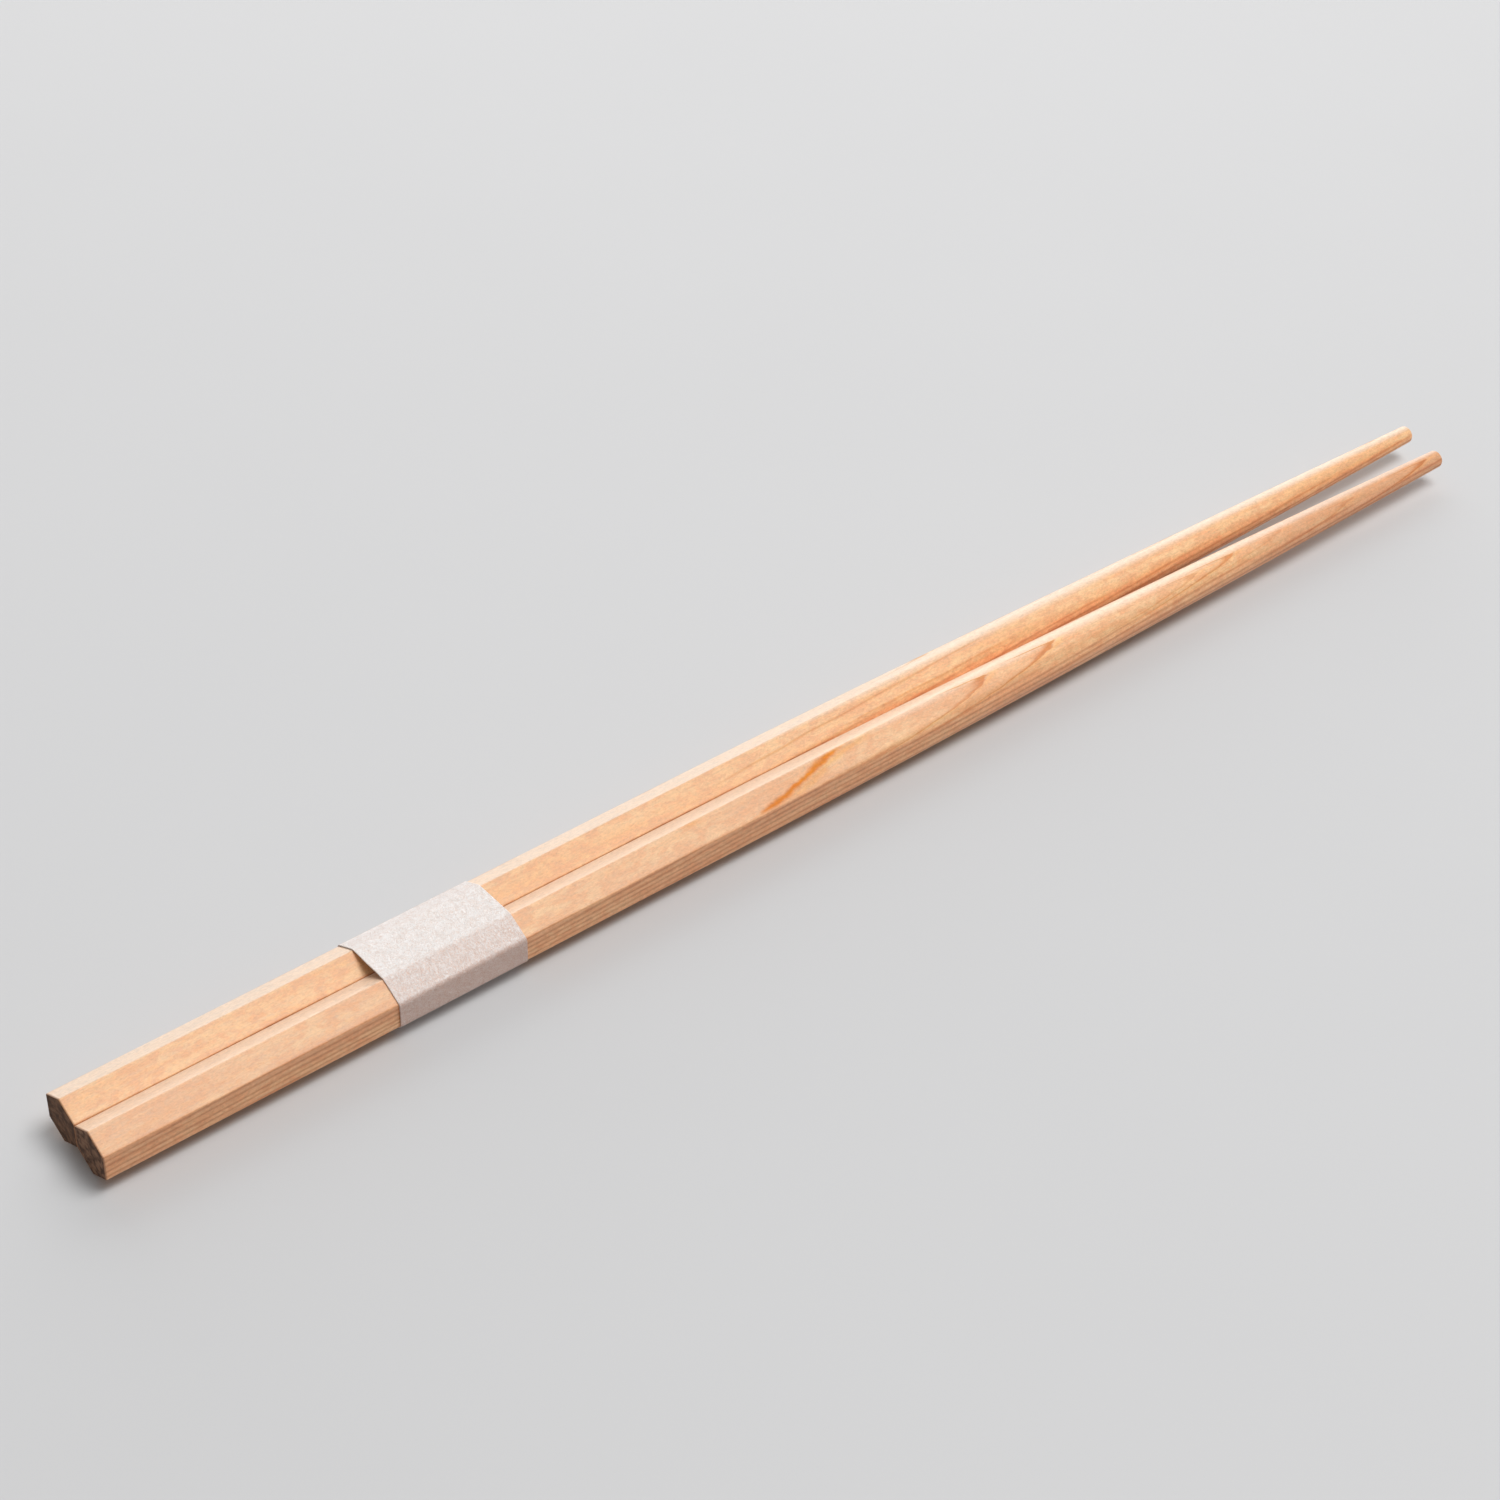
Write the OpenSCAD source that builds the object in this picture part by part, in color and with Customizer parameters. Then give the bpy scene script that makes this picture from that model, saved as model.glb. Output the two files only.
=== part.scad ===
// Pair of hexagonal wooden chopsticks, held side by side by a paper band.
// The sticks run along X, butt ends at -X and tips at +X. They lie flat, with
// the band's glued overlap underneath at Z = 0.

/* [Stick] */
// Length of each stick, from butt to tip
stick_length = 240; // [200:1:280]
// Width across the two upright sides
stick_width = 6.8; // [5:0.1:9]
// Height of each upright side
side_height = 3.8; // [3:0.1:5]
// Rise of the ridges above and below the upright sides
ridge_rise = 1.8; // [1.2:0.1:2.6]
// Radius on the six long edges
edge_radius = 0.4; // [0.1:0.05:0.7]

/* [Taper] */
// Distance from the butt at which the round taper starts to cut the edges
taper_start = 104; // [80:1:130]
// Distance from the butt to the bend of the taper
bend_place = 178; // [150:1:190]
// Diameter that the taper aims at where it bends
bend_diameter = 6.2; // [5.4:0.1:6.4]
// Diameter at the tip
tip_diameter = 2.7; // [2:0.1:4]
// Radius on the rim of the tip
tip_rim = 0.4; // [0.1:0.05:0.8]

/* [Band] */
// Width of the paper strip
band_width = 20; // [10:1:35]
// Distance from the butt to the near edge of the band
band_place = 42; // [20:1:65]
// Thickness of the paper
paper_thickness = 0.2; // [0.1:0.05:0.4]
// Distance from the lower ridges to the two edges of the glued overlap
lap_margin = 0.4; // [0.2:0.1:1.5]

/* [Hidden] */

// Steps in each rounded edge, even so that one point is the crest of the ridge
edge_steps = 4;
// Steps in the curve of the taper
taper_steps = 20;
// Steps in the rounded rim of the tip
rim_steps = 5;

butt_x = -stick_length / 2;
ridge_angle = atan2(ridge_rise, stick_width / 2);
half_side = side_height / 2;
edge_reach = norm([stick_width / 2, half_side]);
ridge_reach = half_side + ridge_rise;
// The rounding takes this much off the crest of each ridge
ridge_loss = edge_radius * (1 / cos(ridge_angle) - 1);
stick_half_height = ridge_reach - ridge_loss;
// The overlap lies two papers thick on the ground
axis_z = 2 * paper_thickness + stick_half_height;

// Points of an arc from one direction to another, about a centre
function arc(centre, radius, from, to, steps) =
    [for (i = [0:steps]) centre + radius * [cos(from + (to - from) * i / steps), sin(from + (to - from) * i / steps)]];

// Centre of the rounding on the edge beside an upright side
function side_edge_centre() =
    [stick_width / 2 - edge_radius,
     half_side - edge_radius * tan((90 - ridge_angle) / 2)];

// Centre of the rounding on a ridge
function ridge_centre() = [0, ridge_reach - edge_radius / cos(ridge_angle)];

// A quarter of the section grown by some thickness, from the right side to the crest
function quarter(grown) = concat(
    arc(side_edge_centre(), edge_radius + grown, 0, 90 - ridge_angle, edge_steps),
    arc(ridge_centre(), edge_radius + grown, 90 - ridge_angle, 90, edge_steps / 2));

// The same points in the other direction, mirrored in the upright axis
function mirrored_quarter(points) =
    [for (i = [len(points) - 1:-1:0]) [-points[i][0], points[i][1]]];

// The upper half outline turned half a turn, for the lower half
function turned(points) = [for (p = points) -p];

// Section of one stick: a hexagon with rounded edges
module stick_section() {
    upper = concat(quarter(0), mirrored_quarter(quarter(0)));
    polygon(concat(upper, turned(upper)));
}

// Outline of the paper stretched round both sticks, grown by some thickness
module wrap_section(grown) {
    right = [for (p = quarter(grown)) p + [stick_width / 2, 0]];
    upper = concat(right, mirrored_quarter(right));
    polygon(concat(upper, turned(upper)));
}

// Radius of the taper: a curve that leaves the hexagon's edges, bends and meets the tip
function taper_point(t) =
    (1 - t) * (1 - t) * [taper_start, max(edge_reach, ridge_reach)]
    + 2 * t * (1 - t) * [bend_place, bend_diameter / 2]
    + t * t * [stick_length, tip_diameter / 2];

// Round body that trims the hexagon down to the tip
module taper_body() {
    blank_radius = edge_reach + ridge_reach;
    curve = [for (i = [0:taper_steps - 1]) taper_point(i / taper_steps)];
    rim = arc([stick_length - tip_rim, tip_diameter / 2 - tip_rim], tip_rim, 90, 0, rim_steps);
    profile = concat([[0, 0], [0, blank_radius], [taper_start, blank_radius]], curve, rim, [[stick_length, 0]]);
    rotate([0, 90, 0])
        rotate_extrude($fn = 96)
            polygon([for (p = profile) [p[1], p[0]]]);
}

// One stick, with its axis on X and its butt at X = 0
module stick() {
    intersection() {
        rotate([90, 0, 90])
            linear_extrude(height = stick_length)
                stick_section();
        taper_body();
    }
}

module left_chopstick() {
    color("burlywood")
        translate([butt_x, stick_width / 2, axis_z])
            stick();
}

module right_chopstick() {
    color("tan")
        translate([butt_x, -stick_width / 2, axis_z])
            stick();
}

// Paper strip wrapped once round both sticks, with its ends lapped underneath
module paper_band() {
    lap_width = stick_width - 2 * lap_margin;
    color("white")
        translate([butt_x + band_place, 0, axis_z])
            rotate([90, 0, 90])
                linear_extrude(height = band_width)
                    union() {
                        difference() {
                            wrap_section(paper_thickness);
                            wrap_section(0);
                        }
                        translate([-lap_width / 2, -axis_z])
                            square([lap_width, 1.5 * paper_thickness]);
                    }
}

left_chopstick();
right_chopstick();
paper_band();
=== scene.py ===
import math

import bpy
import numpy as np
from mathutils import Matrix, Vector, noise


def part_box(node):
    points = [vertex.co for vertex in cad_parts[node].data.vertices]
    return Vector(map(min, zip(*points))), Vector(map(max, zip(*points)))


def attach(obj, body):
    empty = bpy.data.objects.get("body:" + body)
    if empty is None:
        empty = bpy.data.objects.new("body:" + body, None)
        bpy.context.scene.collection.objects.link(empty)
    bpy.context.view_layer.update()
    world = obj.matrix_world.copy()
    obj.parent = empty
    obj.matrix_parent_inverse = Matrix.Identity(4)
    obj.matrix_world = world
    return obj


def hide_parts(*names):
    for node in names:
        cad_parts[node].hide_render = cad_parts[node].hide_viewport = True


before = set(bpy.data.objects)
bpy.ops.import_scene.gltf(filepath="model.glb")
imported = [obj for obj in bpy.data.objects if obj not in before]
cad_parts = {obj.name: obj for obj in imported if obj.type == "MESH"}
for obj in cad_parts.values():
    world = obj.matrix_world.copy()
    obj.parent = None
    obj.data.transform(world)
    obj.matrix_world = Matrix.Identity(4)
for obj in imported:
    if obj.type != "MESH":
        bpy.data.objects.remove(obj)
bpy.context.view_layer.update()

MM = 0.001

# Sizes of the sticks that the frame's boxes don't give, in millimetres
SIDE_HEIGHT = 3.8
RIDGE_RISE = 1.8
TAPER_START = 104
BEND_PLACE = 178
BEND_RADIUS = 3.1
TIP_RADIUS = 1.35
TIP_RIM = 0.4
BUTT_EASE = 0.16
# Softness of the planed edges
EDGE_SOFTNESS = 0.15
# Each upright side stands this far back from the solid's, which keeps the two sticks apart
SEAM = 0.05
# Outward lean of the slender ends, reached at the tip
TIP_BOW = 0.3
BOW_START = 150
# The near stick is a hair shorter in the photograph
NEAR_SHORTER = 1.3
# Depth of the planed faces' wander, and of the saw's roughness in the butts
WANDER = 0.02
BUTT_ROUGHNESS = 0.05
# Distance between two growth rings
RING_SPACING = 0.86

# Rows and columns of a stick's mesh
CAP_ROWS = 8
EASE_ROWS = 5
BODY_ROWS = 240
RIM_ROWS = 7
COLUMNS = 96
EDGES = 6
# How much closer the columns stand at the long edges, from 0 to 1
EDGE_CROWDING = 0.93

# The paper strip
PAPER = 0.15 * MM
PAPER_GAP = 0.01 * MM
RIDGE_FOLD = 1.1 * MM
SIDE_FOLD = 0.55 * MM
LAP_MARGIN = 0.45 * MM
# The strip is cut a little narrower than the solid on the butt side
BAND_INSET = 0.3 * MM

# The camera, fitted to the photograph's frame of 1500 by 1500 pixels
FRAME_PIXELS = 1500
FOCAL_PIXELS = 3279
SENSOR = 36.0
CAMERA_PLACE = Vector((-232.9, -258.5, 294.6)) * MM
CAMERA_AZIMUTH = math.radians(40.02)
CAMERA_ELEVATION = math.radians(40.0)
CAMERA_ROLL = math.radians(-1.54)


class StickPlace:
    """Where one stick lies, read from the box of its node, in millimetres."""

    def __init__(self, node):
        low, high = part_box(node)
        self.butt = low.x / MM
        self.length = (high.x - low.x) / MM
        self.half_width = (high.y - low.y) / 2 / MM
        self.axis_y = (high.y + low.y) / 2 / MM
        self.axis_z = (high.z + low.z) / 2 / MM
        self.outward = 1 if self.axis_y > 0 else -1


far_place = StickPlace("left_chopstick")
near_place = StickPlace("right_chopstick")
band_low, band_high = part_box("paper_band")


# Node trees as Python expressions


class Value:
    """What a node gives out. Arithmetic on it adds Math nodes."""

    def __init__(self, net, socket):
        self.net = net
        self.socket = socket

    def maths(self, operation, *operands):
        return self.net.node("ShaderNodeMath", {"operation": operation}, dict(enumerate(operands)))

    def __add__(self, other):
        return self.maths("ADD", self, other)

    def __radd__(self, other):
        return self.maths("ADD", other, self)

    def __sub__(self, other):
        return self.maths("SUBTRACT", self, other)

    def __rsub__(self, other):
        return self.maths("SUBTRACT", other, self)

    def __mul__(self, other):
        return self.maths("MULTIPLY", self, other)

    def __rmul__(self, other):
        return self.maths("MULTIPLY", other, self)

    def __truediv__(self, other):
        return self.maths("DIVIDE", self, other)

    def __rtruediv__(self, other):
        return self.maths("DIVIDE", other, self)

    def __pow__(self, other):
        return self.maths("POWER", self, other)

    def __abs__(self):
        return self.maths("ABSOLUTE", self)

    def cos(self):
        return self.maths("COSINE", self)

    def sin(self):
        return self.maths("SINE", self)

    def most(self, other):
        return self.maths("MAXIMUM", self, other)

    def least(self, other, softness):
        """The smaller of two, with the corner between them rounded."""
        return self.maths("SMOOTH_MIN", self, other, softness)

    def ramp(self, low, high, kind):
        """0 at low and 1 at high. low may be the larger."""
        settings = {"interpolation_type": kind, "clamp": True}
        ends = {1: min(low, high), 2: max(low, high), 3: float(low > high), 4: float(low < high)}
        return self.net.node("ShaderNodeMapRange", settings, {0: self} | ends)

    def share(self, low, high):
        """0 at low and 1 at high, along a straight line, and level outside them."""
        return self.ramp(low, high, "LINEAR")

    def span(self, low, high):
        """0 at low and 1 at high, eased at both."""
        return self.ramp(low, high, "SMOOTHSTEP")

    def bell(self, middle, half_width):
        """1 at the middle, falling to nearly 0 two half widths away."""
        away = (self - middle) / half_width
        return self.maths("EXPONENT", away * away * -1.0)


class Net:
    """A node tree that is built from expressions on its values."""

    def __init__(self, tree):
        self.tree = tree
        self.tree.nodes.clear()

    def node(self, kind, settings=(), inputs=(), output=0):
        """Adds a node: first its settings, then the values or links of its sockets."""
        made = self.tree.nodes.new(kind)
        for key, value in dict(settings).items():
            setattr(made, key, value)
        for key, value in dict(inputs).items():
            if isinstance(value, Value):
                self.tree.links.new(value.socket, made.inputs[key])
            else:
                made.inputs[key].default_value = value
        return Value(self, made.outputs[output]) if made.outputs else None

    def vector(self, operation, *operands):
        return self.node("ShaderNodeVectorMath", {"operation": operation}, dict(enumerate(operands)))

    def split(self, vector):
        return [self.node("ShaderNodeSeparateXYZ", (), {0: vector}, axis) for axis in range(3)]

    def join(self, x, y, z):
        return self.node("ShaderNodeCombineXYZ", (), {0: x, 1: y, 2: z})

    def turned(self, place, turn):
        """A place turned about the origin, by an angle about each axis in radians."""
        settings = {"rotation_type": "EULER_XYZ"}
        return self.node("ShaderNodeVectorRotate", settings, {"Vector": place, "Rotation": turn})

    def cloud(self, place, stretch=(1, 1, 1), detail=2.0, rough=0.5, swirl=0.0):
        """Noise from 0 to 1, with so many lumps to the millimetre along each axis."""
        inputs = {
            "Vector": self.vector("MULTIPLY", place, stretch),
            "Scale": 1.0,
            "Detail": detail,
            "Roughness": rough,
            "Distortion": swirl,
        }
        return self.node("ShaderNodeTexNoise", {"noise_dimensions": "3D"}, inputs)


# The sticks' shape


class Recipe(Net):
    """A Geometry Nodes tree with named inputs."""

    def __init__(self, name, numbers, materials):
        super().__init__(bpy.data.node_groups.new(name, "GeometryNodeTree"))
        sockets = self.tree.interface
        for key in numbers:
            sockets.new_socket(key, in_out="INPUT", socket_type="NodeSocketFloat")
        for key in materials:
            sockets.new_socket(key, in_out="INPUT", socket_type="NodeSocketMaterial")
        sockets.new_socket("Geometry", in_out="OUTPUT", socket_type="NodeSocketGeometry")

    def take(self, key):
        return self.node("NodeGroupInput", output=key)

    def make(self, name, values):
        """Runs the tree with these input values and gives the plain mesh that results."""
        host = bpy.data.objects.new(name, bpy.data.meshes.new(name))
        bpy.context.scene.collection.objects.link(host)
        modifier = host.modifiers.new("shape", "NODES")
        modifier.node_group = self.tree
        for item in self.tree.interface.items_tree:
            if item.in_out == "INPUT":
                modifier[item.identifier] = values[item.name]
        found = host.evaluated_get(bpy.context.evaluated_depsgraph_get())
        mesh = bpy.data.meshes.new_from_object(found)
        bpy.data.objects.remove(host)
        return add_object(name, mesh)


def add_object(name, mesh):
    mesh.name = name
    made = bpy.data.objects.new(name, mesh)
    bpy.context.scene.collection.objects.link(made)
    return made


def taper_radius(along, length):
    """Radius of the round taper, from the same three points as the solid's curve."""
    start_radius = math.hypot(near_place.half_width, SIDE_HEIGHT / 2)
    run = 2 * (BEND_PLACE - TAPER_START)
    past = (along - TAPER_START).most(0.0)
    curve = length + TAPER_START - 2 * BEND_PLACE
    t = past * 2 / ((past * curve * 4 + run * run) ** 0.5 + run)
    rest = 1 - t
    before_taper = (TAPER_START - along).most(0.0)
    return rest * rest * start_radius + rest * t * 2 * BEND_RADIUS + t * t * TIP_RADIUS + before_taper


def flat_faces(half_width):
    """The hexagon's six faces, as direction from straight up and distance from the axis."""
    slope = math.atan2(RIDGE_RISE, half_width)
    ridge_distance = (SIDE_HEIGHT / 2 + RIDGE_RISE) * math.cos(slope)
    side = half_width - SEAM
    faces = [(math.pi / 2, side), (-math.pi / 2, side)]
    for middle in (0, math.pi):
        faces += [(middle + slope, ridge_distance), (middle - slope, ridge_distance)]
    return faces


def stick_recipe():
    """A hexagonal stick that tapers to a round tip, as one closed grid of rows and columns."""
    net = Recipe(
        "stick_shape",
        ("Butt", "Length", "Axis Y", "Axis Z", "Outward", "Seed"),
        ("Planed Wood", "Butt Wood", "Tip Wood"),
    )
    length = net.take("Length")
    rows = CAP_ROWS + EASE_ROWS + BODY_ROWS + RIM_ROWS + CAP_ROWS + 1
    sizes = {"Size X": rows - 1, "Size Y": COLUMNS, "Vertices X": rows, "Vertices Y": COLUMNS + 1}
    grid = net.node("GeometryNodeMeshGrid", (), sizes)
    x, y, _ = net.split(net.node("GeometryNodeInputPosition"))
    row = x + (rows - 1) / 2
    column = y + COLUMNS / 2

    # Places along the stick: the butt's cap, its eased edge, the body, the tip's rim and its cap
    ease_end = CAP_ROWS + EASE_ROWS
    body_end = ease_end + BODY_ROWS
    butt_share = row.share(0, CAP_ROWS)
    ease = row.share(CAP_ROWS, ease_end) * (math.pi / 2)
    body = row.share(ease_end, body_end)
    rim = row.share(body_end, body_end + RIM_ROWS) * (math.pi / 2)
    tip_share = row.share(rows - 1, rows - 1 - CAP_ROWS)
    along = (1 - ease.cos()) * BUTT_EASE + body * (length - BUTT_EASE - TIP_RIM) + rim.sin() * TIP_RIM
    inset = (1 - ease.sin()) * BUTT_EASE + (1 - rim.cos()) * TIP_RIM

    # Directions round the stick, crowded at the six long edges
    turn = column / (COLUMNS / EDGES)
    turn = turn - (turn * (2 * math.pi)).sin() * (EDGE_CROWDING / (2 * math.pi))
    even = turn * (2 * math.pi / EDGES)
    corner = math.atan2(near_place.half_width, SIDE_HEIGHT / 2)
    bend = (corner - math.pi / 3) / math.sin(2 * math.pi / 3)
    angle = even + (even * 2).sin() * bend

    reach = taper_radius(along, length)
    for direction, distance in flat_faces(near_place.half_width):
        reach = reach.least(distance / (angle - direction).cos().most(0.2), EDGE_SOFTNESS)
    round_place = net.join(along * 0.04, angle.cos() * 1.2, angle.sin() * 1.2 + net.take("Seed"))
    fine_place = net.join(along * 0.5, angle.cos() * 9, angle.sin() * 9 + net.take("Seed"))
    wander = net.cloud(round_place) * WANDER + net.cloud(fine_place) * (WANDER / 4)
    reach = (reach - inset - wander) * butt_share * tip_share

    lean = (along - BOW_START).most(0.0) / (length - BOW_START)
    centre = net.take("Axis Y") + net.take("Outward") * lean * lean * TIP_BOW
    y = centre - reach * angle.sin()
    z = net.take("Axis Z") + reach * angle.cos()
    sawn = net.cloud(net.join(row * 0.01, y * 1.5, z * 1.5), detail=3.0) * BUTT_ROUGHNESS
    inside = butt_share.share(1.0, 0.85) - tip_share.share(1.0, 0.85) * 0.5
    x = net.take("Butt") + along + sawn * inside
    shaped = net.node("GeometryNodeSetPosition", (), {"Geometry": grid, "Position": net.join(x, y, z)})
    closed = net.node("GeometryNodeMergeByDistance", (), {"Geometry": shaped, "Distance": 0.0002})
    outward = net.node("GeometryNodeFlipFaces", (), {"Mesh": closed})
    metres = net.node("GeometryNodeTransform", (), {"Geometry": outward, "Scale": (MM, MM, MM)})
    whole = net.node("GeometryNodeRealizeInstances", (), {"Geometry": metres})

    facing = net.split(net.node("GeometryNodeInputNormal"))[0]
    for key, chosen in (
        ("Planed Wood", True),
        ("Butt Wood", facing.maths("LESS_THAN", facing, -0.75)),
        ("Tip Wood", facing.maths("GREATER_THAN", facing, 0.75)),
    ):
        painting = {"Geometry": whole, "Selection": chosen, "Material": net.take(key)}
        whole = net.node("GeometryNodeSetMaterial", (), painting)
    smooth = net.node("GeometryNodeSetShadeSmooth", (), {"Geometry": whole})
    net.node("NodeGroupOutput", (), {"Geometry": smooth})
    return net


# Materials


class Finish(Net):
    """A material built from expressions. Lengths in it are millimetres and angles are degrees."""

    def __init__(self, name):
        self.material = bpy.data.materials.new(name)
        self.material.use_nodes = True
        super().__init__(self.material.node_tree)

    def here(self):
        """Place on the object, in millimetres."""
        place = self.node("ShaderNodeTexCoord", output="Object")
        return self.vector("MULTIPLY", place, (1 / MM, 1 / MM, 1 / MM))

    def mix(self, share, first, second):
        """The second colour over the first, by a share from 0 to 1."""
        settings = {"data_type": "RGBA", "clamp_factor": True}
        return self.node("ShaderNodeMix", settings, {0: share, 6: first, 7: second}, 2)

    def stain(self, share, colour, tint):
        """A colour multiplied by a tint, by a share from 0 to 1."""
        return self.mix(share, colour, self.vector("MULTIPLY", colour, tint))

    def tone(self, colour, factor):
        """A colour made lighter or darker by a factor."""
        return self.vector("MULTIPLY", colour, self.join(factor, factor, factor))

    def surface(self, colour, roughness, height, depth, ior):
        """Ends the material in a Principled shader, with a bump of some depth in millimetres."""
        bump = {"Height": height, "Distance": depth * MM, "Strength": 1.0}
        inputs = {
            "Base Color": colour,
            "Roughness": roughness,
            "Normal": self.node("ShaderNodeBump", (), bump),
            "IOR": ior,
        }
        shader = self.node("ShaderNodeBsdfPrincipled", (), inputs)
        self.node("ShaderNodeOutputMaterial", (), {"Surface": shader})
        return self.material


# Colours of the bare wood, and the tints that its marks give it
WOOD_NEAR = (0.76, 0.415, 0.215, 1.0)
WOOD_FAR = (0.81, 0.450, 0.205, 1.0)
WOOD_YELLOW = (0.84, 0.53, 0.275, 1.0)
WOOD_ROSY = (0.75, 0.37, 0.175, 1.0)
# Paler colours painted on the faces turned away from the camera, as painted sheen
FAR_PAINTED_SHEEN = (0.78, 0.60, 0.455, 1.0)
NEAR_PAINTED_SHEEN = (0.84, 0.62, 0.46, 1.0)
TINT_LATE = (0.78, 0.64, 0.57)
TINT_ARC = (0.80, 0.52, 0.26)
TINT_BROWN = (0.86, 0.70, 0.56)
TINT_STREAK = (0.96, 0.82, 0.70)
TINT_ORANGE = (1.02, 0.82, 0.60)
TINT_RESIN = (0.95, 0.51, 0.0)
TINT_GLOW = (1.08, 1.03, 0.80)
TINT_FLECK = (0.90, 0.82, 0.74)
TINT_DARKER = (0.89, 0.88, 0.91)
TINT_YELLOWER = (1.03, 1.14, 1.28)
TINT_STEEP = (1.08, 1.03, 1.05)
# The butts' end grain is darker than its own colour would be: partly real end grain, partly painted shade
END_NEAR_SHADED = (0.27, 0.15, 0.09, 1.0)
END_FAR_SHADED = (0.21, 0.11, 0.06, 1.0)
END_DARK_SHADED = (0.09, 0.045, 0.026, 1.0)
RIM_BROWN = (0.30, 0.13, 0.06, 1.0)
TIP_PALE = (0.52, 0.33, 0.2, 1.0)
TIP_DARK = (0.36, 0.21, 0.125, 1.0)

# Colours of the paper over the groove, on the slopes of the two sticks and in its strands
PAPER_OVER_GROOVE = (0.97, 0.93, 0.905, 1.0)
# Darker, warmer colour painted on the near slope, as painted shade
PAPER_NEAR_SLOPE_SHADED = (0.94, 0.80, 0.735, 1.0)
PAPER_FAR_SLOPE = (0.94, 0.885, 0.86, 1.0)
PAPER_STRAND = (0.985, 0.955, 0.94, 1.0)
TINT_CLOUD = (0.955, 0.915, 0.89)
TINT_GRIT = (0.91, 0.84, 0.80)
TINT_GAP = (0.92, 0.86, 0.83)
# Darkening painted on the paper's upright sides, as painted shade
TINT_PAINTED_SIDE_SHADE = (0.80, 0.70, 0.66)
STRAND_WIDTH = 0.03

FLOOR_GREY = (0.585, 0.585, 0.59)
STUDIO_BRIGHTNESS = 0.3

# Places where a growth ring comes out of the taper as a pointed arc. For each: distance of its
# point from the butt, direction of the point from straight up, how fast its leg draws back,
# how the leg bends, and how dark it is
NEAR_ARCS = (
    (143.6, 5, 15.0, 6.0, 0.95),
    (156.8, 5, 17.0, 3.5, 1.0),
    (185.4, 15, 28.0, 38.0, 0.5),
    (193.0, 12, 27.0, 0.0, 0.85),
    (204.0, 12, 30.0, 0.0, 0.35),
    (218.5, 30, 22.0, 0.0, 0.5),
    (235.4, 25, 13.3, 0.0, 0.9),
)
FAR_ARCS = (
    (141.0, -38, 24.0, 6.0, 0.8),
    (158.0, -45, 28.0, 4.0, 0.9),
    (189.0, -36, 32.0, 20.0, 0.7),
    (216.0, -46, 30.0, 0.0, 0.6),
    (233.0, -34, 20.0, 0.0, 0.8),
)
NEAR_UNDER_ARCS = ((128.0, 8, 16.0, 5.0, 0.7), (149.0, 12, 19.0, 6.0, 0.8), (207.0, 10, 24.0, 0.0, 0.6))
FAR_UNDER_ARCS = ((118.0, -10, 14.0, 4.0, 0.8), (171.0, -6, 20.0, 8.0, 0.7), (223.0, -4, 18.0, 0.0, 0.5))


def stick_coordinates(finish, place):
    """Distance from the butt, distance toward the near side and height above the axis."""
    here = finish.here()
    x, y, z = finish.split(here)
    return here, x - place.butt, place.axis_y - y, z - place.axis_z


def arc_marks(along, angle, arcs):
    """How dark and how light the arcs make a place. Each has a hooked point and one long leg."""
    dark = 0.0
    light = 0.0
    for point, point_angle, spread, hook, strength in arcs:
        off = (angle - point_angle) * math.copysign(1, point_angle)
        leg = off * off / 60 ** 2
        back = leg * spread + leg * leg * leg * hook + (off * -0.9).most(0.0)
        ahead = (along + back - point) * (leg * 1.2 + 1)
        reach = off.span(80, 60) * off.span(-10, -4) * strength
        core = ahead.span(-3.4, -0.7) * (leg * -0.6 + 1).most(0.5)
        shade = (core * 0.95 + ahead.span(-7.0, -1.0) * 0.12) * ahead.span(0.5, -0.1)
        dark = (shade * reach).most(dark)
        light = (ahead.span(0.1, 0.8) * ahead.span(3.2, 0.9) * reach).most(light)
    return dark, light


def steep_side(angle):
    """1 on the upright sides and 0 elsewhere."""
    return abs(angle).span(54, 64) * abs(angle).span(126, 116)


def side_lines(finish, here, along, up, angle):
    """Growth rings cut lengthwise: fine lines on the upright sides, which climb towards the tip."""
    drift = finish.cloud(here, (0.02, 0.15, 0.15), 2.0)
    level = up - along * 0.028 + (drift - 0.5) * 1.1
    shift = (finish.cloud(here, (0.01, 0.9, 0.9)) - 0.5) * 5
    wave = (level * (2 * math.pi / RING_SPACING) + shift).sin()
    return (wave * 0.5 + 0.5) ** 2.0 * steep_side(angle)


def near_streaks(finish, here, along, angle):
    """The near stick's orange streak, the spot behind it and the slightly darker slender end."""
    sway = (finish.cloud(here, (0.5, 0.5, 0.5)) - 0.5) * 5
    ahead = along + angle * 0.245 - 116.6 + sway
    width = angle.bell(30, 14) * -0.7 + 2.9
    stretch = angle.span(61, 52) * angle.span(-3, 6)
    streak = abs(ahead / width).span(1.3, 0.1) * stretch
    glow = (ahead / width).bell(1.7, 0.8) * stretch
    spot = along.bell(91.3, 1.4) * angle.bell(5.0, 5.0)
    slender_end = along.span(188, 212) * angle.span(-40, -10)
    return (
        (glow * 0.8, TINT_GLOW),
        (streak, TINT_RESIN),
        (spot * 0.4, TINT_RESIN),
        (slender_end * 0.9, TINT_DARKER),
    )


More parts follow.
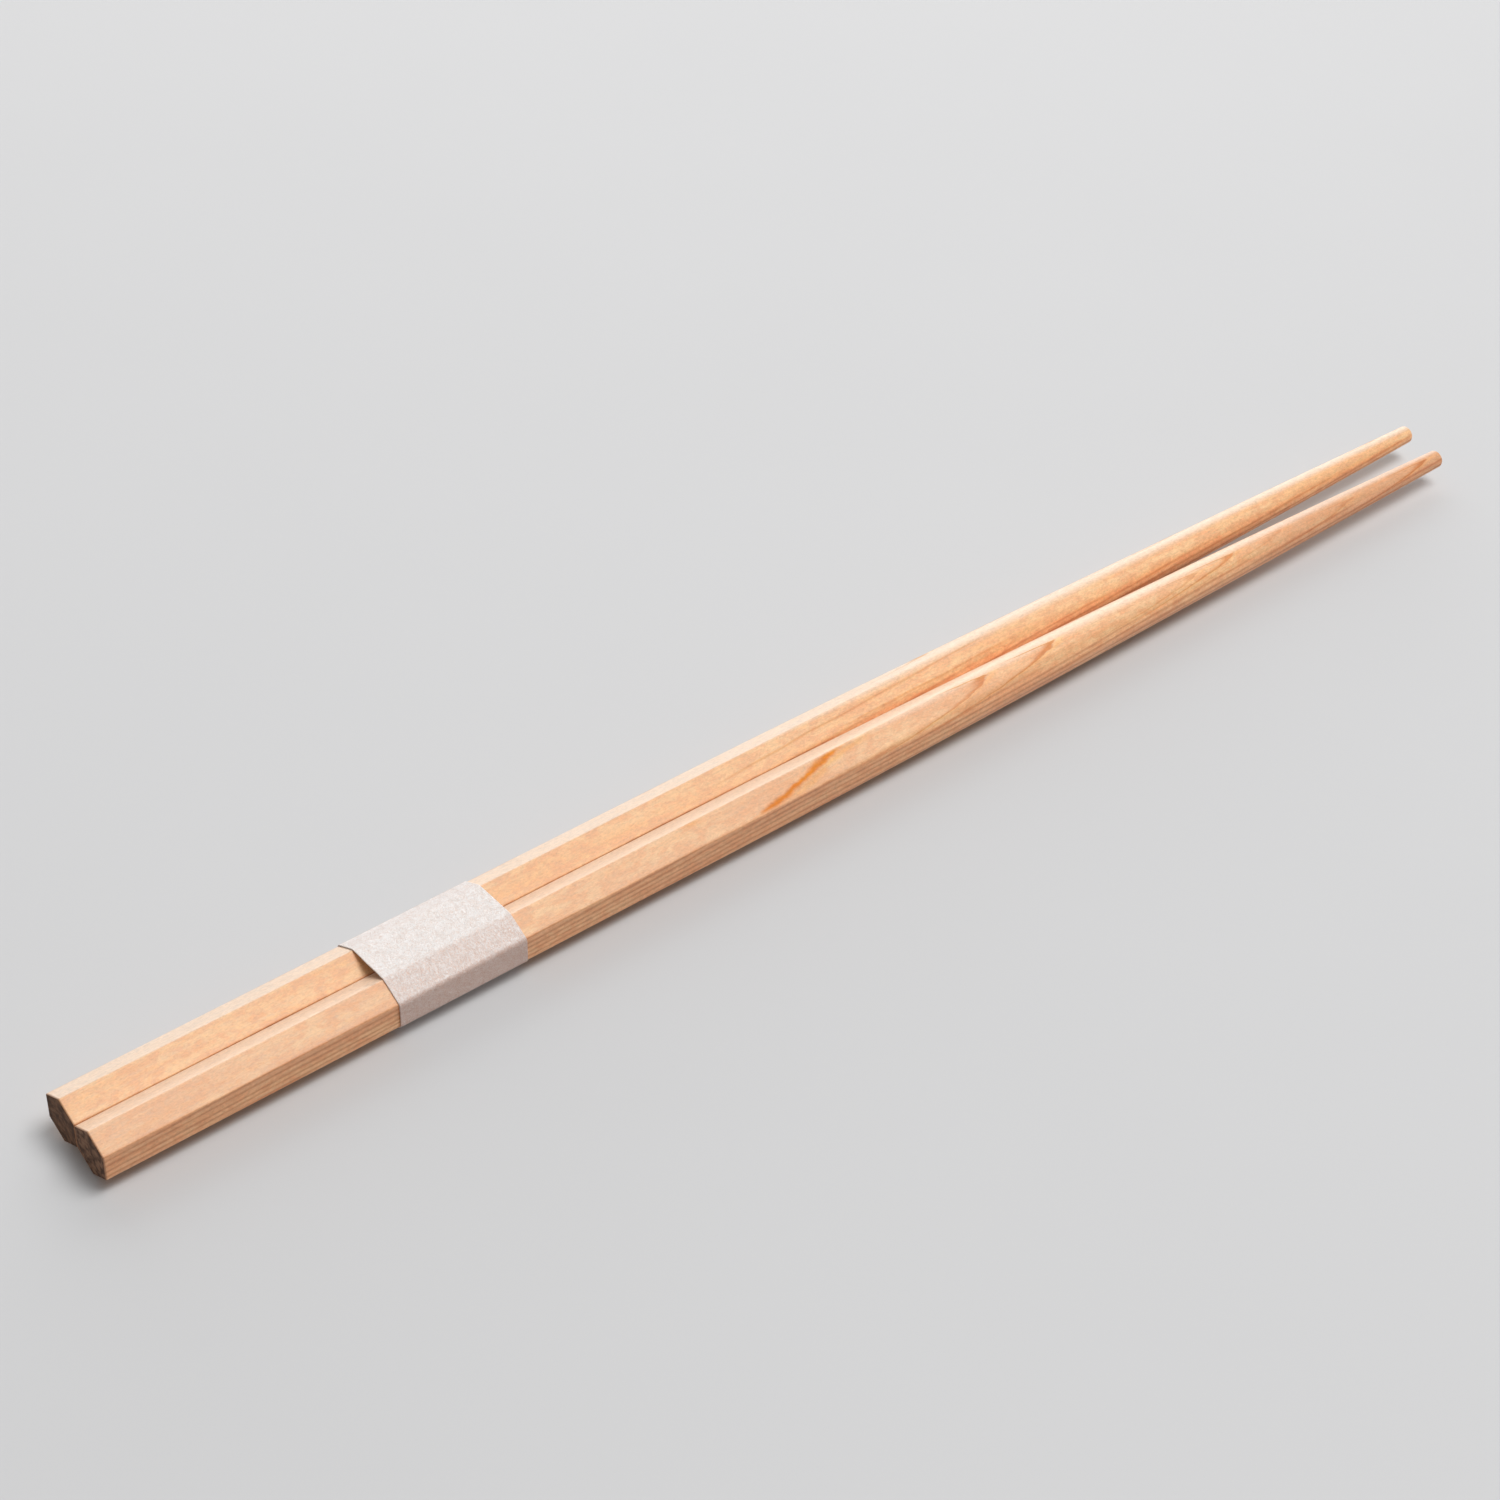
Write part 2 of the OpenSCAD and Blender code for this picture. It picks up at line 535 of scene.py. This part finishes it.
def far_streaks(finish, here, along, angle):
    """The far stick's lines on its wide slope, the orange zone by the seam and the yellower end."""
    sway = (finish.cloud(here, (0.09, 0.5, 0.5), 3.0) - 0.5) * 14
    upper = (angle + sway + (along - 98) * 0.6).bell(38.0, 3.0)
    upper = upper * along.span(96, 108) * along.span(153, 145)
    lower = (angle + sway + (along - 121) * 0.17).bell(50.0, 2.5)
    lower = lower * along.span(116, 126) * along.span(160, 146)
    broad = finish.cloud(here, (0.07, 0.4, 0.4), 2.0).span(0.3, 0.6)
    zone = angle.bell(63, 15) * along.span(116, 150) * (broad * 0.5 + 0.5)
    slender_end = along.span(118, 180) * angle.span(10, 40)
    return (
        (upper.most(lower) * 0.8, TINT_BROWN),
        (zone * 0.5, TINT_ORANGE),
        (slender_end * 0.7, TINT_YELLOWER),
    )


def wood(name, place, body_colour, painted_sheen_colour, arcs, under_arcs, streaks):
    """Bare planed softwood: even, finely mottled faces, lines on the sides and arcs on the taper."""
    finish = Finish(name)
    here, along, near, up = stick_coordinates(finish, place)
    angle = near.maths("ARCTAN2", near, up) * (180 / math.pi)
    angle_below = near.maths("ARCTAN2", near, up * -1.0) * (180 / math.pi)
    slow_sway = (finish.cloud(here, (0.15, 0.8, 0.8), 3.0) - 0.5) * 3.0
    sway = slow_sway + (finish.cloud(here, (0.5, 2.0, 2.0)) - 0.5) * 2
    dark, light = arc_marks(along + sway, angle, arcs)
    dark_below, light_below = arc_marks(along + sway, angle_below, under_arcs)
    dark = dark.most(dark_below)
    light = light.most(light_below)
    lines = side_lines(finish, here, along, up, angle)

    broad = finish.cloud(here, (0.05, 0.45, 0.45))
    grain = finish.cloud(here, (0.035, 1.3, 1.3), 3.0, 0.6)
    patches = finish.cloud(here, (0.4, 0.9, 0.9), 4.0, 0.62, 0.5)
    mottle = finish.cloud(here, (1.2, 2.2, 2.2), 3.0, 0.65, 0.8)
    speckle = finish.cloud(here, (2.5, 5.0, 5.0), 2.0, 0.6)
    fibres = finish.cloud(here, (0.12, 5.0, 5.0), 3.0, 0.65)
    slanted = finish.turned(here, (0.4, 0.2, 0.65))
    flecks = finish.cloud(slanted, (0.7, 3.4, 3.4), 2.0, 0.5).span(0.56, 0.70)
    taper = along.span(100, 150)
    # Painted sheen: the faces turned away from the camera are made paler, and the edge of this paleness
    # is soft on the round taper
    painted_sheen_share = ((taper * 20 + 3 - angle) / (taper * 26 + 6)).span(0, 1) * angle.span(-125, -95)

    colour = finish.mix(broad.span(0.35, 0.65) * 0.7, body_colour, WOOD_YELLOW)
    colour = finish.stain(grain.span(0.50, 0.64) * 0.4, colour, TINT_STREAK)
    colour = finish.mix(patches.span(0.40, 0.62) * 0.8, colour, WOOD_ROSY)
    colour = finish.mix(painted_sheen_share * ((patches - 0.5) * 0.5 + 0.9), colour, painted_sheen_colour)
    colour = finish.stain(flecks * 0.5, colour, TINT_FLECK)
    colour = finish.stain(steep_side(angle), colour, TINT_STEEP)
    colour = finish.stain(lines, colour, TINT_LATE)
    # The rim of the sawn end is browner than the faces
    colour = finish.mix(along.span(0.3, 0.1) * 0.75, colour, RIM_BROWN)
    streaky = fibres.span(0.48, 0.66) * taper
    colour = finish.stain(streaky * 0.4, colour, TINT_STREAK)
    colour = finish.stain(light * 0.8, colour, TINT_GLOW)
    colour = finish.stain(dark, colour, TINT_ARC)
    matt = 0.0
    for share, tint in streaks(finish, here, along, angle):
        colour = finish.stain(share, colour, tint)
        matt = share + matt
    # taper * 0.07 paints the taper slightly lighter, as painted light; the other terms are mottling
    shade = (mottle - 0.5) * 0.55 + (speckle - 0.5) * 0.4 + (fibres - 0.5) * 0.26 + taper * 0.07 + 1
    colour = finish.tone(colour, shade)
    roughness = (mottle - 0.5) * 0.25 + (fibres - 0.5) * 0.2 + matt * 0.2 + 0.44
    height = fibres * 0.8 + mottle * 0.6 + speckle * 0.4 - flecks * 0.3 - lines * 0.3
    return finish.surface(colour, roughness, height, 0.012, 1.5)


def end_grain(name, place, pale, dark):
    """Sawn ends: darker than the faces, at the butts partly as painted shade, with the rings cut across
    and fine saw marks.
    """
    finish = Finish(name)
    here, along, near, up = stick_coordinates(finish, place)
    drift = finish.cloud(here, (0.0, 0.35, 0.35), 2.0)
    level = up + near * near * 0.09 + (drift - 0.5) * 1.0
    rings = ((level * (2 * math.pi / RING_SPACING)).sin() * 0.5 + 0.5) ** 3
    pores = finish.cloud(here, (7.0, 7.0, 7.0), 3.0, 0.6)
    blotch = finish.cloud(here, (0.9, 0.9, 0.9), 3.0, 0.6)
    saw = finish.cloud(here, (1.0, 0.6, 8.0), 2.0)
    colour = finish.mix(blotch.span(0.38, 0.62), pale, dark)
    colour = finish.stain(rings * 0.8, colour, TINT_LATE)
    colour = finish.tone(colour, (pores - 0.5) * 0.8 + 1)
    height = pores + saw * 0.8 - rings * 0.4
    return finish.surface(colour, 0.8, height, 0.012, 1.3)


def strand_lines(finish, here, turn, stretch, width):
    """Thin curling lines where a stretched noise passes its middle, for fibres in the paper."""
    lumps = finish.cloud(finish.turned(here, turn), stretch, 1.0, 0.5, 0.4)
    return abs(lumps - 0.5).span(width, 0.0)


def paper():
    """Thin white paper with fine strands, with painted warmer shade where it lies on the near stick."""
    finish = Finish("fibre_paper")
    here = finish.here()
    y = finish.split(here)[1]
    across = abs(y)
    lines = 0.0
    gaps = 0.0
    elsewhere = finish.vector("ADD", here, (40.0, 0.0, 7.0))
    for turn, stretch in (
        ((0.3, 0.2, 0.5), (0.5, 2.6, 2.6)),
        ((0.9, -0.4, -0.8), (0.55, 2.9, 2.9)),
        ((-0.7, 0.6, 1.3), (0.6, 3.2, 3.2)),
        ((0.2, 1.1, 2.1), (0.5, 2.8, 2.8)),
    ):
        lines = strand_lines(finish, here, turn, stretch, STRAND_WIDTH).most(lines)
        gaps = strand_lines(finish, elsewhere, turn, stretch, STRAND_WIDTH).most(gaps)
    clouds = finish.cloud(here, (0.9, 0.9, 0.9), 4.0, 0.62)
    grit = finish.cloud(here, (4.5, 4.5, 4.5), 3.0, 0.7, 0.8)
    # Painted shade: the paper on the near slope is darker and warmer than over the groove
    colour = finish.mix(y.span(-2.9, -3.9), PAPER_OVER_GROOVE, PAPER_NEAR_SLOPE_SHADED)
    colour = finish.mix(y.span(2.9, 3.9), colour, PAPER_FAR_SLOPE)
    colour = finish.stain(clouds.span(0.40, 0.62), colour, TINT_CLOUD)
    colour = finish.stain(grit.span(0.48, 0.60), colour, TINT_GRIT)
    colour = finish.stain(gaps, colour, TINT_GAP)
    colour = finish.mix(lines * 0.7, colour, PAPER_STRAND)
    # Painted shade: the paper on the upright sides is made darker
    colour = finish.stain(across.span(6.5, 6.95), colour, TINT_PAINTED_SIDE_SHADE)
    height = lines * 0.7 - gaps * 0.4 + clouds * 0.7 + grit * 0.7
    return finish.surface(colour, 0.8, height, 0.035, 1.4)


def plain_floor():
    finish = Finish("pale_floor")
    grain = finish.cloud(finish.here(), (0.02, 0.02, 0.02), 2.0)
    colour = finish.tone(FLOOR_GREY, (grain - 0.5) * 0.02 + 1)
    return finish.surface(colour, 0.6, grain, 0.01, 1.4)


# The paper strip's shape


def wrap_corners():
    """Corners of the line that a taut strip takes round both sticks, anticlockwise from below."""
    width = near_place.half_width * MM
    half = SIDE_HEIGHT / 2 * MM
    ridge = half + RIDGE_RISE * MM
    right = [(width, -ridge), (2 * width, -half), (2 * width, half), (width, ridge)]
    left = [(-y, z) for y, z in reversed(right)]
    return [Vector(p) for p in right + left]


def wrap_line():
    """The strip's line as (place, outward direction), with an arc at each fold."""
    corners = wrap_corners()
    middle = (corners[-1] + corners[0]) / 2
    line = [(middle, Vector((0, -1)))]
    fold_steps = 9
    for i, corner in enumerate(corners):
        before = (corner - corners[i - 1]).normalized()
        after = (corners[(i + 1) % len(corners)] - corner).normalized()
        out_before = Vector((before.y, -before.x))
        out_after = Vector((after.y, -after.x))
        turn = before.angle(after)
        radius = RIDGE_FOLD if turn < math.radians(45) else SIDE_FOLD
        centre = corner - (out_before + out_after).normalized() * radius / math.cos(turn / 2)
        for step in range(fold_steps):
            out = out_before.slerp(out_after, step / (fold_steps - 1))
            line.append((centre + out * radius, out))
    line.append((middle, Vector((0, -1))))
    return line


class WrapPath:
    """Finds the place and outward direction at a distance along the strip's line."""

    def __init__(self):
        self.line = wrap_line()
        steps = [(b[0] - a[0]).length for a, b in zip(self.line, self.line[1:])]
        self.run = np.concatenate([[0.0], np.cumsum(steps)])
        self.length = float(self.run[-1])

    def at(self, distance):
        distance = distance % self.length
        i = int(np.clip(np.searchsorted(self.run, distance, side="right") - 1, 0, len(self.line) - 2))
        share = (distance - self.run[i]) / max(self.run[i + 1] - self.run[i], 1e-12)
        place = self.line[i][0].lerp(self.line[i + 1][0], share)
        out = self.line[i][1].lerp(self.line[i + 1][1], share).normalized()
        return place, out

    def spacing(self, start, end, coarse):
        """Distances from start to end: every point of the line, and no step over the coarse one."""
        marks = {start, end}
        for turn in (-1, 0, 1):
            marks.update(d for d in self.run + turn * self.length if start < d < end)
        marks = sorted(marks)
        found = []
        for a, b in zip(marks, marks[1:]):
            parts = max(1, math.ceil((b - a) / coarse))
            found.extend(a + (b - a) * i / parts for i in range(parts))
        return found + [end]


def lap_offset(distance, lap_start):
    """Distance of the paper's middle from the wood: a second layer where the strip laps itself."""
    ramp = 0.9 * MM
    share = min(1.0, max(0.0, (distance - lap_start + ramp) / ramp))
    smooth = share * share * (3 - 2 * share)
    return PAPER_GAP + PAPER / 2 + smooth * (PAPER + PAPER_GAP)


def band_width():
    return band_high.x - band_low.x - BAND_INSET


def paper_rows():
    """Points of the strip's middle and their outward directions, one row for each place along x."""
    path = WrapPath()
    lap_half = near_place.half_width * MM - LAP_MARGIN
    end = path.length + lap_half
    distances = path.spacing(-lap_half, end, 0.3 * MM)
    width = band_width()
    border = [0.0, 0.006, 0.018]
    shares = border + list(np.linspace(0.04, 0.96, 47)) + [1 - s for s in reversed(border)]
    rows = []
    for share in shares:
        row = []
        side = 1 if share > 0.5 else -1
        inset = min(share, 1 - share) * width
        for distance in distances:
            place, out = path.at(distance)
            # The cut edges wander. They lift and the sheet cockles, though not underneath
            free = 0.5 + 0.5 * max(-1.0, min(1.0, out.y * 3 + 1))
            cut = noise.noise(Vector((distance * 420, 3.0 + side, 0)))
            cut += 0.4 * noise.noise(Vector((distance * 1900, 8.0 + side, 0)))
            along = band_high.x - width * (1 - share)
            along += 0.06 * MM * (cut - 0.4) * side * max(0.0, 1 - inset / (1.5 * MM))
            lift = 0.5 + 0.5 * noise.noise(Vector((distance * 260, 20.0 + side, 0)))
            cockle = 0.5 + 0.5 * noise.noise(Vector((along * 330, place.x * 330, place.y * 330)))
            offset = lap_offset(distance, path.length - lap_half)
            offset += free * (0.04 * MM * lift * math.exp(-inset / (0.6 * MM)) + 0.035 * MM * cockle)
            spot = place + out * offset
            row.append(((along, spot.x, spot.y + near_place.axis_z * MM), (0.0, out.x, out.y)))
        rows.append(row)
    return rows, path.length + 2 * lap_half


def make_band(material):
    """The strip as one closed skin: its outer and inner side, its two cut edges and its two ends."""
    rows, strip_length = paper_rows()
    middle = np.array([[p for p, _ in row] for row in rows])
    out = np.array([[n for _, n in row] for row in rows])
    across, along = middle.shape[:2]
    layers = (middle + out * PAPER / 2, middle - out * PAPER / 2)
    points = [tuple(p) for layer in layers for p in layer.reshape(-1, 3)]
    rim = [(i, 0) for i in range(across)] + [(across - 1, j) for j in range(1, along)]
    rim += [(i, along - 1) for i in range(across - 2, -1, -1)] + [(0, j) for j in range(along - 2, 0, -1)]

    def at(layer, i, j):
        return layer * across * along + i * along + j

    faces = []
    for i in range(across - 1):
        for j in range(along - 1):
            corners = ((i, j), (i, j + 1), (i + 1, j + 1), (i + 1, j))
            faces.append([at(0, *c) for c in corners])
            faces.append([at(1, *c) for c in reversed(corners)])
    for a, b in zip(rim, rim[1:] + rim[:1]):
        faces.append([at(0, *a), at(0, *b), at(1, *b), at(1, *a)])
    mesh = bpy.data.meshes.new("paper_wrap")
    mesh.from_pydata(points, [], faces)
    mesh.polygons.foreach_set("use_smooth", [True] * len(mesh.polygons))
    mesh.materials.append(material)
    return add_object("paper_wrap", mesh), strip_length


# The scene


def make_camera():
    forward = Vector((
        math.sin(CAMERA_AZIMUTH) * math.cos(CAMERA_ELEVATION),
        math.cos(CAMERA_AZIMUTH) * math.cos(CAMERA_ELEVATION),
        -math.sin(CAMERA_ELEVATION),
    ))
    level_right = forward.cross(Vector((0, 0, 1))).normalized()
    level_down = forward.cross(level_right)
    right = level_right * math.cos(CAMERA_ROLL) + level_down * math.sin(CAMERA_ROLL)
    down = level_down * math.cos(CAMERA_ROLL) - level_right * math.sin(CAMERA_ROLL)
    turn = Matrix((right, -down, -forward)).transposed()
    data = bpy.data.cameras.new("camera")
    data.sensor_width = SENSOR
    data.lens = SENSOR * FOCAL_PIXELS / FRAME_PIXELS
    data.clip_start = 0.01
    data.clip_end = 50
    camera = bpy.data.objects.new("camera", data)
    camera.matrix_world = Matrix.Translation(CAMERA_PLACE) @ turn.to_4x4()
    bpy.context.scene.collection.objects.link(camera)
    bpy.context.scene.camera = camera


def add_softbox(name, place, size, power):
    """A rectangular lamp that looks at the object."""
    data = bpy.data.lights.new(name, "AREA")
    data.shape = "RECTANGLE"
    data.size, data.size_y = size
    data.energy = power
    lamp = bpy.data.objects.new(name, data)
    lamp.location = place
    lamp.rotation_euler = (-Vector(place)).to_track_quat("-Z", "Y").to_euler()
    bpy.context.scene.collection.objects.link(lamp)


def make_studio():
    reach = 4.0
    mesh = bpy.data.meshes.new("floor")
    corners = [(-reach, -reach, 0), (reach, -reach, 0), (reach, reach, 0), (-reach, reach, 0)]
    mesh.from_pydata(corners, [], [(0, 1, 2, 3)])
    mesh.materials.append(plain_floor())
    add_object("floor", mesh)
    world = bpy.data.worlds.new("studio")
    world.use_nodes = True
    background = world.node_tree.nodes["Background"]
    background.inputs["Color"].default_value = (1.0, 1.0, 1.0, 1.0)
    background.inputs["Strength"].default_value = STUDIO_BRIGHTNESS
    bpy.context.scene.world = world
    add_softbox("key_softbox", (0.5, -0.42, 1.85), (1.1, 1.1), 30.0)
    add_softbox("back_softbox", (0.56, 0.97, 0.65), (1.4, 0.9), 5.5)
    add_softbox("low_softbox", (0.6, 1.04, 0.13), (1.4, 0.2), 4.0)
    bpy.context.scene.view_settings.view_transform = "Standard"


def make_stick(recipe, name, place, shorter, seed, materials):
    values = {
        "Butt": place.butt,
        "Length": place.length - shorter,
        "Axis Y": place.axis_y,
        "Axis Z": place.axis_z,
        "Outward": float(place.outward),
        "Seed": seed,
    }
    return recipe.make(name, values | dict(zip(("Planed Wood", "Butt Wood", "Tip Wood"), materials)))


make_camera()
make_studio()

near_materials = (
    wood("near_wood", near_place, WOOD_NEAR, NEAR_PAINTED_SHEEN, NEAR_ARCS, NEAR_UNDER_ARCS, near_streaks),
    end_grain("near_butt_grain", near_place, END_NEAR_SHADED, END_DARK_SHADED),
    end_grain("near_tip_grain", near_place, TIP_PALE, TIP_DARK),
)
far_materials = (
    wood("far_wood", far_place, WOOD_FAR, FAR_PAINTED_SHEEN, FAR_ARCS, FAR_UNDER_ARCS, far_streaks),
    end_grain("far_butt_grain", far_place, END_FAR_SHADED, END_DARK_SHADED),
    end_grain("far_tip_grain", far_place, TIP_PALE, TIP_DARK),
)
recipe = stick_recipe()
near_stick = make_stick(recipe, "near_stick", near_place, NEAR_SHORTER, 4.0, near_materials)
far_stick = make_stick(recipe, "far_stick", far_place, 0.0, 31.0, far_materials)
band, strip_length = make_band(paper())

for piece, node, slot in (
    (far_stick, "left_chopstick", "wood"),
    (near_stick, "right_chopstick", "wood"),
    (band, "paper_band", "paper"),
):
    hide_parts(node)
    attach(piece, "root")
